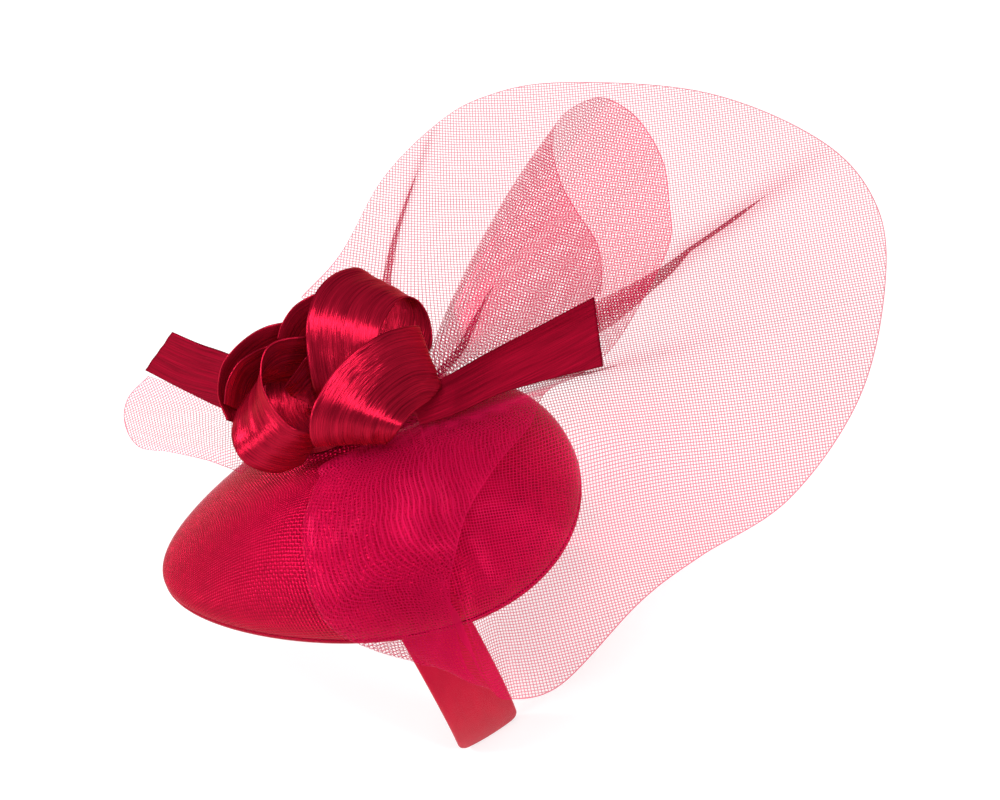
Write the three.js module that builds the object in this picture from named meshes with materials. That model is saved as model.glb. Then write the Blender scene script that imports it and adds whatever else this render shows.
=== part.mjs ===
// Fascinator headpiece: a small egg-shaped straw base on a satin headband, trimmed with a
// rose of silk abaca loops, two abaca tails and one long strip of stiff crinoline mesh.
// Millimetres, +Z up. The wearer faces -Y. The origin is the top of the wearer's head, at
// the inside of the headband's highest point.

import * as THREE from "three";
import { mergeVertices } from "three/addons/utils/BufferGeometryUtils.js";

// Base: an egg-shaped dome, lying askew across the head.
const BASE_HALF_LENGTH = 80;
const BASE_HALF_WIDTH = 51;
const BASE_EGG = 0.27; // how much wider the back half is than the front half
const BASE_RISE = 34;
const BASE_NOSE_DROP = 0.5; // how much lower the dome is towards its narrow front end
const BASE_TURN = THREE.MathUtils.degToRad(19.5); // from +Y towards +X
const BASE_CENTRE = new THREE.Vector3(0.5, 3.5, -25);
const DOME_SPREAD = 2.2; // exponents of the dome's profile
const DOME_ROUND = 1 / 1.9;
const BASE_SECTORS = 40;
const BASE_RINGS = 8;

// Layers of the base, from the outside in.
const STRAW_THICK = 1;
const BUCKRAM_THICK = 1.1;
const LINING_THICK = 0.6;
const LAYER_GAP = 0.4;
const WIRE_RADIUS = 0.7;
const PETERSHAM_WIDE = 8;
const PETERSHAM_THICK = 0.7;
const EDGE_ROLL_RADIUS = 1.8;
const EDGE_ROLL_THICK = 0.6;
const EDGE_ROLL_OPEN = Math.PI / 4; // half the angle left open on its inner side
const EDGE_STEPS = 8;
const EDGE_CENTRE = [1.6, -2.3]; // of the rolled edge and its wire: inwards and up from the rim

// Headband: a spring strip in a satin sleeve, bent as part of an ellipse.
const BAND_HALF_WIDTH = 54.4;
const BAND_MIDDLE = 3; // along Y
const BAND_DROP = 80; // from the top down to the widest place
const BAND_WIDE = 26;
const BAND_END_ANGLE = THREE.MathUtils.degToRad(-30);
const SATIN_THICK = 0.6;
const SATIN_GAP = 0.3;
const SPRING_THICK = 1.2;
const SPRING_WIDE = 22;
const SATIN_SKIRT = 2; // how far the satin turns in round the band's edges
const BAND_STEPS = 49;
const BAND_TAPER_STEPS = 8; // along each rounded end
const BAND_END_SHARE = 0.55; // how wide the rounded end's last edge is, as a share of the band

// Trimmings.
const ABACA_THICK = 0.7;
const CRIN_THICK = 0.9;
const CRIN_COLUMNS = 6;
const CRIN_STEPS = 2; // from one row of the crinoline to the next
const STRIP_ACROSS = 10;
const LEFT_LOOP_ACROSS = 6;
const ABACA_STEPS = 3; // from one pair of edge points to the next
const ABACA_ACROSS = 4;
const ROSE_CENTRE = new THREE.Vector3(-25.5, 16, 28);
const FOOT_CENTRE = { x: -24, y: 11 };
const FOOT_HALF_SIDES = { x: 13, y: 18 };
const FOOT_TOP = 11;
const FOOT_GAP = 0.9; // over the dome
const FOOT_SIDES = 32;
const STITCH_THICK = 1.4;
const TACK_ANGLE = THREE.MathUtils.degToRad(14);
const TACK_LONG = 3;
const TACK_HALF_WIDE = 14.5;
const TACK_UNDER = 1.1;
const TACK_RISE = 4;

const RED_STRAW = 0xc8143c;
const RED_SATIN = 0xd81e3c;
const RED_ABACA = 0x96001e;
const PINK_CRIN = 0xe68ca0;
const DARK_THREAD = 0x8c0f28;
const WHITE_BUCKRAM = 0xe6dcd2;
const STEEL = 0x9a9ca0;
const CLEAR_PLASTIC = 0x2d2d32;

const cloth = (colour, roughness = 0.6) =>
  new THREE.MeshStandardMaterial({ color: colour, roughness, metalness: 0 });

// ---------------------------------------------------------------- solids from grids of points

// A closed body from points and four-cornered faces, with shared points merged and its
// faces turned outwards.
function closedBody(points, faces) {
  const geometry = new THREE.BufferGeometry();
  geometry.setAttribute(
    "position",
    new THREE.Float32BufferAttribute(points.flatMap((p) => [p.x, p.y, p.z]), 3),
  );
  geometry.setIndex(faces.flatMap(([a, b, c, d]) => [a, b, c, a, c, d]));
  const merged = mergeVertices(geometry, 1e-3);
  const at = (i) => new THREE.Vector3().fromBufferAttribute(merged.attributes.position, i);
  const kept = [];
  let volume = 0;
  for (let i = 0; i < merged.index.count; i += 3) {
    const corner = [0, 1, 2].map((k) => merged.index.getX(i + k));
    if (new Set(corner).size < 3) continue;
    kept.push(corner);
    volume += at(corner[0]).dot(at(corner[1]).cross(at(corner[2])));
  }
  merged.setIndex(kept.flatMap(([a, b, c]) => (volume < 0 ? [a, c, b] : [a, b, c])));
  merged.computeVertexNormals();
  return merged;
}

// The body between two grids of points with the same rows and columns. A ring grid joins
// its last row to its first.
function bodyBetween(top, bottom, ring = false) {
  const rows = top.length;
  const columns = top[0].length;
  const points = [...top.flat(), ...bottom.flat()];
  const upper = (i, j) => (i % rows) * columns + j;
  const lower = (i, j) => upper(i, j) + rows * columns;
  const faces = [];
  const steps = ring ? rows : rows - 1;
  for (let i = 0; i < steps; i++) {
    for (let j = 0; j < columns - 1; j++) {
      faces.push([upper(i, j), upper(i + 1, j), upper(i + 1, j + 1), upper(i, j + 1)]);
      faces.push([lower(i, j), lower(i, j + 1), lower(i + 1, j + 1), lower(i + 1, j)]);
    }
    faces.push([upper(i, 0), lower(i, 0), lower(i + 1, 0), upper(i + 1, 0)]);
    const last = columns - 1;
    faces.push([upper(i, last), upper(i + 1, last), lower(i + 1, last), lower(i, last)]);
  }
  if (!ring) {
    for (let j = 0; j < columns - 1; j++) {
      faces.push([upper(0, j), upper(0, j + 1), lower(0, j + 1), lower(0, j)]);
      const end = rows - 1;
      faces.push([upper(end, j), lower(end, j), lower(end, j + 1), upper(end, j + 1)]);
    }
  }
  return closedBody(points, faces);
}

const smooth = (points) => new THREE.CatmullRomCurve3(points, false, "catmullrom", 0.5);

// A grid of points on the smooth surface through rows of control points.
function surfaceGrid(rows, along, across) {
  const fine = rows.map((row) => smooth(row).getPoints(across));
  const columns = fine[0].map((_, j) => smooth(fine.map((row) => row[j])).getPoints(along));
  return columns[0].map((_, i) => columns.map((column) => column[i]));
}

// A sheet of even thickness about a grid of points.
function sheetBody(grid, thickness) {
  const clamp = (i, n) => Math.min(Math.max(i, 0), n - 1);
  const offset = (i, j, side) => {
    const point = (a, b) => grid[clamp(a, grid.length)][clamp(b, grid[0].length)];
    const along = point(i + 1, j).clone().sub(point(i - 1, j));
    const across = point(i, j + 1).clone().sub(point(i, j - 1));
    const normal = along.cross(across).normalize();
    return grid[i][j].clone().addScaledVector(normal, (side * thickness) / 2);
  };
  const face = (side) => grid.map((row, i) => row.map((_, j) => offset(i, j, side)));
  return bodyBetween(face(1), face(-1));
}

// ---------------------------------------------------------------- base

const baseLong = new THREE.Vector3(Math.sin(BASE_TURN), Math.cos(BASE_TURN), 0);
const baseShort = new THREE.Vector3(Math.cos(BASE_TURN), -Math.sin(BASE_TURN), 0);

// A point of the dome that lies inset inside the base's outer face, at a share of the way
// out from its middle to its rim.
function domePoint(share, angle, inset) {
  const along = (BASE_HALF_LENGTH - inset) * Math.cos(angle) * share;
  const swell = 1 + BASE_EGG * Math.cos(angle);
  const aside = (BASE_HALF_WIDTH * swell - inset) * Math.sin(angle) * share;
  const bulge = (1 - share ** DOME_SPREAD) ** DOME_ROUND;
  const nose = 1 - BASE_NOSE_DROP * Math.max(0, -Math.cos(angle)) * share ** 2;
  return BASE_CENTRE.clone()
    .addScaledVector(baseLong, along)
    .addScaledVector(baseShort, aside)
    .add(new THREE.Vector3(0, 0, (BASE_RISE - inset) * bulge * nose));
}

const sectorAngle = (i) => (2 * Math.PI * i) / BASE_SECTORS;

function domeGrid(inset) {
  return Array.from({ length: BASE_SECTORS }, (_, i) =>
    Array.from({ length: BASE_RINGS + 1 }, (_, j) => {
      const share = Math.sin(((j / BASE_RINGS) * Math.PI) / 2);
      return domePoint(share, sectorAngle(i), inset);
    }),
  );
}

// A dome-shaped layer. Its two faces meet the rim's plane.
const domeLayer = (inset, thickness) =>
  bodyBetween(domeGrid(inset), domeGrid(inset + thickness), true);

// A closed hoop just inside the rim: its section is a polygon of (inward, up) offsets.
function rimHoop(inset, section) {
  const outline = (inward) => (_, i) => domePoint(1, sectorAngle(i), inset + inward);
  const rails = section.map(([inward, up]) =>
    Array.from({ length: BASE_SECTORS }, outline(inward)).map((p) => p.setZ(p.z + up)),
  );
  const points = rails.flat();
  const faces = [];
  for (let k = 0; k < rails.length; k++) {
    const next = (k + 1) % rails.length;
    for (let i = 0; i < BASE_SECTORS; i++) {
      const after = (i + 1) % BASE_SECTORS;
      faces.push([
        k * BASE_SECTORS + i,
        k * BASE_SECTORS + after,
        next * BASE_SECTORS + after,
        next * BASE_SECTORS + i,
      ]);
    }
  }
  return closedBody(points, faces);
}

// A ribbon on the inner face of a dome layer, from a share of the way out down to the rim.
function rimRibbon(inset, thickness, wide) {
  const upShare = 1 - wide / (2 * BASE_HALF_WIDTH);
  const grid = (depth) =>
    Array.from({ length: BASE_SECTORS }, (_, i) =>
      [upShare, (upShare + 1) / 2, 1].map((share) => domePoint(share, sectorAngle(i), depth)),
    );
  return bodyBetween(grid(inset), grid(inset + thickness), true);
}

const arcSection = (radius, from, to, steps, centre) =>
  Array.from({ length: steps + 1 }, (_, i) => {
    const angle = THREE.MathUtils.lerp(from, to, i / steps);
    return [centre[0] + radius * Math.cos(angle), centre[1] + radius * Math.sin(angle)];
  });

// The straw's edge, rolled under the rim round the wire and open inwards.
function rolledEdge() {
  const from = EDGE_ROLL_OPEN;
  const to = 2 * Math.PI - EDGE_ROLL_OPEN;
  const inside = EDGE_ROLL_RADIUS - EDGE_ROLL_THICK;
  const outer = arcSection(EDGE_ROLL_RADIUS, from, to, EDGE_STEPS, EDGE_CENTRE);
  const inner = arcSection(inside, to, from, EDGE_STEPS, EDGE_CENTRE);
  return rimHoop(0, [...outer, ...inner]);
}

const rimWire = () =>
  rimHoop(0, arcSection(WIRE_RADIUS, 0, (5 / 3) * Math.PI, 5, EDGE_CENTRE));

// ---------------------------------------------------------------- headband

// A point on the band: its angle along the ellipse, the distance out from the inner face
// and the distance across.
function bandPoint(angle, out, aside) {
  const normal = new THREE.Vector3(
    BAND_DROP * Math.cos(angle),
    0,
    BAND_HALF_WIDTH * Math.sin(angle),
  ).normalize();
  return new THREE.Vector3(
    BAND_HALF_WIDTH * Math.cos(angle),
    BAND_MIDDLE + aside,
    BAND_DROP * (Math.sin(angle) - 1),
  ).addScaledVector(normal, out);
}

// A strip along the band with rounded ends. Its edges can be turned in by a skirt.
function bandStrip(out, thickness, wide, skirt) {
  const half = wide / 2;
  const grid = Array.from({ length: BAND_STEPS + 1 }, (_, i) => {
    const share = (i / BAND_STEPS) * 2 - 1;
    const reach = Math.min(1, ((1 - Math.abs(share)) * BAND_STEPS) / BAND_TAPER_STEPS);
    const side = half * THREE.MathUtils.lerp(BAND_END_SHARE, 1, Math.sqrt(1 - (1 - reach) ** 2));
    const angle = Math.PI / 2 - share * (Math.PI / 2 - BAND_END_ANGLE);
    const flat = [-side, 0, side].map((aside) => bandPoint(angle, out, aside));
    if (!skirt) return flat;
    const turned = [-side, side].map((aside) => bandPoint(angle, out - skirt, aside));
    return [turned[0], ...flat, turned[1]];
  });
  return sheetBody(grid, thickness);
}

// A thread tack: a few turns of thread round the band, reaching up to the lining.
function bandTack(angle) {
  const frame = (inset) => [
    new THREE.Vector2(inset - TACK_HALF_WIDE, inset - TACK_UNDER),
    new THREE.Vector2(TACK_HALF_WIDE - inset, inset - TACK_UNDER),
    new THREE.Vector2(TACK_HALF_WIDE - inset, TACK_RISE - inset),
    new THREE.Vector2(inset - TACK_HALF_WIDE, TACK_RISE - inset),
  ];
  const outline = new THREE.Shape(frame(0));
  outline.holes.push(new THREE.Path(frame(STITCH_THICK / 2)));
  const geometry = new THREE.ExtrudeGeometry(outline, { depth: TACK_LONG, bevelEnabled: false });
  geometry.translate(0, 0, -TACK_LONG / 2);
  const at = bandPoint(angle, 0, 0);
  const up = bandPoint(angle, 1, 0).sub(at);
  const across = new THREE.Vector3(0, 1, 0);
  const along = across.clone().cross(up);
  geometry.applyMatrix4(new THREE.Matrix4().makeBasis(across, up, along).setPosition(at));
  return geometry;
}

// ---------------------------------------------------------------- rose of abaca loops

const abacaSheet = (rows) =>
  sheetBody(surfaceGrid(rows, (rows.length - 1) * ABACA_STEPS, ABACA_ACROSS), ABACA_THICK);

const roseUp = new THREE.Vector3(-0.675, 0.516, 0.528).normalize();
const roseFace = new THREE.Vector3(0.565, -0.1, 0.819).normalize();
const roseRight = roseUp.clone().cross(roseFace).normalize();

// A point of the rose: to its right, up and out of its face, from its centre.
const rosePoint = ([right, up, out]) =>
  ROSE_CENTRE.clone()
    .addScaledVector(roseRight, right)
    .addScaledVector(roseUp, up)
    .addScaledVector(roseFace, out);

// A loop of ribbon from the pairs of points on its two edges.
function roseLoop(edges) {
  const rows = edges.map(([outer, inner]) => {
    const a = rosePoint(outer);
    const b = rosePoint(inner);
    return [a, a.clone().lerp(b, 0.5), b];
  });
  return abacaSheet(rows);
}

// Each loop's edges as [outer edge, inner edge] from one end to the other, in the rose's
// frame.
const ROSE_LOOPS = {
  loop_top: [
    [[-2, -10, -6], [18, -10, -4]],
    [[-5, -3, 6], [20, -4, 8]],
    [[-7, 10, 13], [19, 7, 15]],
    [[-7, 21, 13.5], [19, 16.5, 15]],
    [[-4, 31, 9], [22.5, 24, 11]],
    [[2.6, 38, 1], [27, 29, 5]],
    [[11, 40, -6], [32.5, 28, -1]],
    [[15, 34, -13], [36.5, 21, -5]],
    [[13, 23, -16], [37, 11.5, -6.5]],
    [[11, 12, -15], [31, 5, -9]],
  ],
  loop_right: [
    [[27, 13, -3], [35, -2, -6]],
    [[32.5, 19, 3.5], [40.6, -2, 2.2]],
    [[20, 16, 18], [37, -7.5, 9]],
    [[6, 5.5, 25], [31, -12, 17]],
    [[-3, -8, 28], [27, -17, 21]],
    [[-5.5, -17, 24], [23.5, -21.5, 18]],
    [[-4, -24, 16], [20, -23, 13]],
    [[2, -22, 10], [15, -18, 8]],
  ],
  loop_front: [
    [[-8, 15, 9], [-7, 1, -9]],
    [[-14, 14.5, 11], [-9.5, 0, -9]],
    [[-19.2, 12.8, 13], [-13, -1, -9]],
    [[-22.1, 9.5, 14.5], [-18, -1, -8]],
    [[-23.2, 4, 15.5], [-25, -2, -7]],
    [[-22.5, -3, 16.5], [-31.5, -8, -6]],
    [[-18.5, -10.5, 17], [-34.5, -16, -1]],
    [[-13.5, -16.5, 16], [-34, -24, 3]],
    [[-9, -18.5, 14.5], [-29, -31, 2]],
    [[-4.5, -19, 12], [-19, -34, -3]],
    [[0, -18, 8], [-10, -31, -6]],
  ],
  loop_inner_ring: [
    [[-37.6, -9, 1], [-30.5, -12.5, -12.5]],
    [[-36.5, -1.6, 3], [-27.5, -8, -12.5]],
    [[-32.7, 5.3, 4.5], [-25, -3, -12.5]],
    [[-28, 8.8, 5.5], [-21, 0, -12.5]],
    [[-23.8, 11, 6], [-16, 3, -12.5]],
    [[-18, 13, 6], [-11, 5, -12.5]],
  ],
  loop_outer_ring: [
    [[-36.8, -15, -4], [-30, -17.5, -15]],
    [[-40, -6, -3], [-30.5, -11, -16]],
    [[-38.8, 4, -2], [-29.5, -4, -16]],
    [[-34.8, 10, -1], [-26, 0.5, -16]],
    [[-28.5, 15.5, 0], [-21, 4, -16]],
    [[-22.2, 18.8, 0], [-15, 7, -16]],
    [[-15, 20.5, -1], [-9, 9, -16]],
  ],
  loop_back: [
    [[-18.3, 14.5, 1], [-10, 7.5, -10]],
    [[-17, 19, 2], [-7.5, 8, -10]],
    [[-14, 24, 3], [-5, 9.5, -10]],
    [[-10.6, 27.3, 3.5], [-2, 12, -10]],
    [[-5, 30.5, 3], [1, 15, -10]],
  ],
  loop_heart: [
    [[-15.8, -3, 2], [-14, -6, -5]],
    [[-11, 3.5, 4], [-9, -8, -4]],
    [[-7.5, 8, 4], [-5, -10, -3.5]],
    [[-3, 8, 0], [-2, -9, -9]],
  ],
  loop_core: [
    [[-23.5, 1, -14.5], [0, 6, -14]],
    [[-23.5, -6, -15.5], [2, -3, -15]],
    [[-22, -13, -14], [2, -12, -12]],
    [[-17, -20, -9], [3, -17.5, -7]],
    [[-10, -23, -3], [4, -21, -1]],
  ],
};

// The height of the dome over a place, found by closing in on the share of the way out.
function domeHeight(x, y) {
  const place = new THREE.Vector3(x, y, 0).sub(BASE_CENTRE);
  const along = place.dot(baseLong) / BASE_HALF_LENGTH;
  const swollen = place.dot(baseShort) / BASE_HALF_WIDTH;
  let aside = swollen;
  for (let i = 0; i < 12; i++) {
    const share = Math.hypot(along, aside);
    aside = (swollen * share) / (share + BASE_EGG * along);
  }
  return domePoint(Math.hypot(along, aside), Math.atan2(aside, along), 0).z;
}

// The stiff pad that the loops are sewn to: flat on top, and shaped to the dome below.
function roseFoot() {
  const grid = (height) =>
    Array.from({ length: FOOT_SIDES }, (_, i) => {
      const angle = (2 * Math.PI * i) / FOOT_SIDES;
      return [0, 0.5, 1].map((share) => {
        const x = FOOT_CENTRE.x + FOOT_HALF_SIDES.x * share * Math.cos(angle);
        const y = FOOT_CENTRE.y + FOOT_HALF_SIDES.y * share * Math.sin(angle);
        return new THREE.Vector3(x, y, height(x, y));
      });
    });
  const under = grid((x, y) => domeHeight(x, y) + FOOT_GAP);
  return bodyBetween(grid(() => FOOT_TOP), under, true);
}

// ---------------------------------------------------------------- tails and crinoline

const vector = ([x, y, z]) => new THREE.Vector3(x, y, z);

// Each tail's edges as [upper, lower], from under the rose to the cut end.
const TAILS = {
  tail_right: [
    [[-10, 37, 15], [6, 35, 18]],
    [[-8, 51, 16], [9, 48, 17]],
    [[-6, 71, 18], [11, 66, 16]],
    [[-3, 91, 20], [17, 86, 15]],
    [[0, 113, 22], [22, 102, 13]],
  ],
  tail_left: [
    [[-39, 8, 12.9], [-31.5, -2, 12.9]],
    [[-50, 2, 14], [-38, -8, 7]],
    [[-70, -9, 14], [-54, -20, 5]],
    [[-81, -16, 14], [-71, -29, 5]],
    [[-92, -22, 14], [-90, -38, 5]],
  ],
};

const tail = (edges) => abacaSheet(edges.map((pair) => pair.map(vector)));

const row = (...points) => points.map(vector);

// A straight row of the crinoline from its gathered edge to its free edge, bowed by a vector.
function ray(inner, outer, bow = [0, 0, 0]) {
  return Array.from({ length: CRIN_COLUMNS }, (_, i) => {
    const share = i / (CRIN_COLUMNS - 1);
    return vector(inner)
      .lerp(vector(outer), share)
      .addScaledVector(vector(bow), 4 * share * (1 - share));
  });
}

// The long strip: an upright trumpet, then a loop folded over the front of the base, then
// the wide fan of the brim. Each row runs from the gathered edge to the free edge.
const STRIP_ROWS = [
  // trumpet, front wall
  ray([-11, 46, 14], [6, 114, 30], [2, 0, 3]),
  ray([-12, 46, 14.2], [3, 118, 36], [2, 0, 3]),
  ray([-13, 46, 14.4], [-5, 122, 42], [2, 0, 3]),
  ray([-14, 46, 14], [-17, 122, 48], [1, 0, 3]),
  ray([-15, 46, 14], [-29, 123, 52], [0, 0, 3]),
  ray([-16, 46, 14], [-43, 128, 55], [-2, 0, 4]),
  // trumpet, round the fold and down the back wall
  ray([-17, 46, 13], [-56, 138, 51], [-4, 0, 2]),
  ray([-18, 46, 12], [-62, 155, 42], [-4, 0, -2]),
  ray([-17, 46, 11], [-56, 163, 34], [-3, 0, -2]),
  ray([-16, 46, 11], [-46, 165, 28], [-2, 0, -2]),
  ray([-15, 46, 10], [-33, 163, 24], [0, 0, -2]),
  ray([-14, 46, 10], [-21, 157, 19], [0, 0, -1]),
  ray([-12, 45, 10], [-9, 149, 14]),
  ray([-10, 44, 10], [3, 130, 10]),
  ray([-8, 42, 10], [14, 110, 9]),
  ray([-7, 40, 10], [17, 95, 9]),
  // loop over the front of the base, folded at its left and lower edges
  row([-8, 38, 10], [0, 24, 10.5], [-3, 8, 14], [0, 7, 18], [11, 44, 16], [16, 80, 9]),
  row([-8, 37, 10], [3, 19, 11.5], [1, -2, 14], [4, -2, 18], [17, 36, 19], [26, 68, 11]),
  row([-8, 36, 10], [5, 14, 12.5], [7, -11, 13], [10, -9, 18], [22, 25, 21], [32, 54, 12]),
  row([-8, 35, 10], [9, 9, 14], [14, -18, 12], [17, -15, 17], [29, 17, 20], [38, 42, 12]),
  row([-8, 34, 10], [15, 5, 15], [23, -24, 6], [28, -21, 12], [36, 9, 18], [44, 31, 10]),
  row([-7.6, 33.2, 10], [21, 2, 16], [32, -28, -2], [37, -26, 3], [45, 2, 14], [52, 22, 7]),
  row([-7.2, 32.4, 10], [28, 1, 15], [41, -27, -11], [45, -25, -5], [52, -1, 7], [58, 14, 0]),
  row([-6.5, 31.8, 10], [34, 3, 12], [51, -20, -17], [55, -18, -12], [60, -2, -5], [64, 9, -10]),
  row([-5.8, 32.4, 10], [37, 9, 10], [57, -12, -23], [62, -10, -21], [67, -2, -17], [70, 6, -18]),
  row([-5.3, 33.4, 10], [37, 15, 9], [63, -3, -23], [69, -4, -28], [73, -1, -27], [77, 4, -26]),
  row([-5, 34.6, 10], [35, 21, 9], [58, 10, -10], [71, 5, -26], [79, 4, -32], [85, 7, -32]),
  // brim, from the front of the base round behind the wearer's head
  row([-4.8, 36, 10], [15, 34, 12], [37, 28, 8], [58, 22, -5], [76, 16, -23], [91, 11, -35]),
  row([-4.6, 37.6, 10], [18, 38, 11], [40, 35, 6], [61, 32, -7], [81, 30, -21], [100, 29, -30]),
  row([-4.6, 39.2, 10], [18, 45, 10], [39, 50, 4], [59, 56, -6], [76, 62, -15], [94, 68, -20]),
  row([-5, 41, 10], [14, 53, 9], [33, 64, 1], [52, 74, -7], [74, 85, -12], [94, 94, -15]),
  row([-7, 43, 9], [9, 60, 8], [25, 79, 2], [47, 97, -4], [73, 114, -8], [96, 131, -10]),
  row([-9, 44, 9], [4, 66, 8], [16, 90, 3], [37, 118, -1], [59, 146, -4], [79, 172, -5]),
  ray([-11, 44, 8], [45, 205, -5]),
  ray([-13, 44, 8], [14, 222, -2], [0, 0, -2]),
  ray([-15, 44, 8], [-22, 221, 1], [0, 0, -2]),
  ray([-17, 44, 8], [-67, 197, 5], [0, 0, -2]),
  ray([-19, 43, 8], [-100, 153, 14], [0, 0, -2]),
  ray([-21, 42, 8], [-109, 124, 19], [0, 0, -2]),
  ray([-23, 40, 8], [-106, 101, 22], [0, 0, -2]),
  ray([-25, 37, 8], [-95, 74, 24], [0, 0, -2]),
  ray([-27, 34, 8], [-76, 46, 23], [0, 0, -2]),
  ray([-28, 31, 8], [-71, 25, 19], [0, 0, -2]),
];

// The small loop of crinoline below the left tail.
const LEFT_LOOP_ROWS = [
  ray([-38, -3, 1], [-91, -38, 0]),
  ray([-37, -4.5, 1.3], [-90, -49, -4]),
  ray([-36, -6, 1.6], [-82, -55, -6], [0, 0, 2]),
  ray([-34.5, -7.3, 2], [-69, -55, -6], [0, 0, 3]),
  ray([-33, -8.4, 2.6], [-57, -46, -3], [0, 0, 3]),
  ray([-31.5, -9.4, 3.2], [-44, -37, 0], [0, 0, 3]),
  ray([-30, -10.3, 3.9], [-35, -32, 2], [0, 0, 2]),
  ray([-28, -11, 4.6], [-26, -28, 5]),
];

const crinSheet = (rows, across) =>
  sheetBody(surfaceGrid(rows, (rows.length - 1) * CRIN_STEPS, across), CRIN_THICK);

// ---------------------------------------------------------------- the assembly

const fascinator = new THREE.Group();

function add(name, geometry, material) {
  const mesh = new THREE.Mesh(geometry, material);
  mesh.name = name;
  fascinator.add(mesh);
}

const straw = cloth(RED_STRAW, 0.45);
const satin = cloth(RED_SATIN, 0.4);
const buckram = cloth(WHITE_BUCKRAM, 0.9);
const thread = cloth(DARK_THREAD);
const steel = new THREE.MeshStandardMaterial({ color: STEEL, roughness: 0.4, metalness: 1 });

const buckramInset = STRAW_THICK + LAYER_GAP;
const liningInset = buckramInset + BUCKRAM_THICK + LAYER_GAP;
const petershamInset = liningInset + LINING_THICK + LAYER_GAP;
add("base_straw_cover", domeLayer(0, STRAW_THICK), straw);
add("base_buckram_shell", domeLayer(buckramInset, BUCKRAM_THICK), buckram);
add("base_lining", domeLayer(liningInset, LINING_THICK), satin);
add("petersham_ribbon", rimRibbon(petershamInset, PETERSHAM_THICK, PETERSHAM_WIDE), satin);
add("rolled_straw_edge", rolledEdge(), straw);
add("rim_wire", rimWire(), steel);

const springOut = SATIN_THICK + SATIN_GAP + SPRING_THICK / 2;
const coverOut = springOut + SPRING_THICK / 2 + SATIN_GAP + SATIN_THICK / 2;
add("headband_lining", bandStrip(SATIN_THICK / 2, SATIN_THICK, SPRING_WIDE, 0), satin);
add("headband_spring", bandStrip(springOut, SPRING_THICK, SPRING_WIDE, 0), cloth(CLEAR_PLASTIC));
add("headband_satin_cover", bandStrip(coverOut, SATIN_THICK, BAND_WIDE, SATIN_SKIRT), satin);
add("band_tack_left", bandTack(Math.PI / 2 - TACK_ANGLE), thread);
add("band_tack_right", bandTack(Math.PI / 2 + TACK_ANGLE), thread);

add("rose_foot", roseFoot(), buckram);
const abaca = cloth(RED_ABACA, 0.4);
const crin = cloth(PINK_CRIN, 0.4);
for (const [name, edges] of Object.entries(ROSE_LOOPS)) {
  add(name, roseLoop(edges), abaca);
}
for (const [name, edges] of Object.entries(TAILS)) {
  add(name, tail(edges), abaca);
}
add("crin_long_strip", crinSheet(STRIP_ROWS, STRIP_ACROSS), crin);
add("crin_left_loop", crinSheet(LEFT_LOOP_ROWS, LEFT_LOOP_ACROSS), crin);

export default fascinator;
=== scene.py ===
from math import cos, pi, radians, sin, sqrt

import bpy
import numpy as np
from mathutils import Matrix, Vector


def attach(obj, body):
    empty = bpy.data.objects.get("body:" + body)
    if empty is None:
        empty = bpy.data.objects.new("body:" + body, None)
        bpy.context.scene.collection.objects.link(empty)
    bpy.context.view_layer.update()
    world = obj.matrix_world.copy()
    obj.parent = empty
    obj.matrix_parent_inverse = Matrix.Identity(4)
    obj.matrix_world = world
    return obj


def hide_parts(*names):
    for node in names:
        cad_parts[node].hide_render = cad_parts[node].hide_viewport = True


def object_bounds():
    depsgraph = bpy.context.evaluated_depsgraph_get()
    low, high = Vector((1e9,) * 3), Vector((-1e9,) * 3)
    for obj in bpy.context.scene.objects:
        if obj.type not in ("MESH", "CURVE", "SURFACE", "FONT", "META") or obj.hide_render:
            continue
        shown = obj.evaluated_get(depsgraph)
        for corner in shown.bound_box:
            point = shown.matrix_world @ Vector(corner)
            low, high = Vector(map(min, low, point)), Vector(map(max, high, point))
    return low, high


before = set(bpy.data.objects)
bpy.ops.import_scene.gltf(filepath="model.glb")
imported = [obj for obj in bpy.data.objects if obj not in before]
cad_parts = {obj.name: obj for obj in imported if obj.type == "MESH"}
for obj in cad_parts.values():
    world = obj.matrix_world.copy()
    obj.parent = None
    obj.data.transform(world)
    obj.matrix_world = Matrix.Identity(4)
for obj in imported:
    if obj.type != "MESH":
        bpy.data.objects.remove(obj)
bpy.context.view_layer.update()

# ------------------------------------------------------------------ sizes, in millimetres

MM = 0.001

# Base: the same egg-shaped dome as the CAD part.
BASE_HALF_LENGTH = 80
BASE_HALF_WIDTH = 51
BASE_EGG = 0.27
BASE_RISE = 34
BASE_NOSE_DROP = 0.5
BASE_TURN = radians(19.5)
BASE_CENTRE = np.array([0.5, 3.5, -25])
DOME_SPREAD = 2.2
DOME_ROUND = 1 / 1.9
DOME_RINGS = 60
DOME_SECTORS = 160
HOOP_STEPS = 240
HOOP_SIDES = 16
LINING_INSET = 2.9
PETERSHAM_INSET = 3.9
PETERSHAM_WIDE = 8
EDGE_ROLL_RADIUS = 1.8
EDGE_CENTRE = (1.6, -2.3)
STRAW_WARP = 1.1  # from one strand to the next
STRAW_WEFT = 1.35

# Headband.
BAND_HALF_WIDTH = 54.4
BAND_MIDDLE = 3
BAND_DROP = 80
BAND_WIDE = 26
BAND_END_ANGLE = radians(-30)
BAND_THICK = 3
BAND_CORNER = 1.2
BAND_CROWN = 0.25  # how far the cover bulges over the middle of the band
BAND_TURN_IN = 1.3  # of the cover under the band
BAND_COVER_LOW = 0.4  # from the band's inner face out to the cover's turned edges
BAND_ROUND_STEPS = 11
BAND_STEPS = 220
BAND_END_STEPS = 12  # along each rounded end
BAND_END_NARROW = 0.62
LINING_WIDE = 22
LINING_BEVEL = 0.3
LINING_BEND_OUT = 0.1
LINING_EDGE_OUT = 0.5

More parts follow.
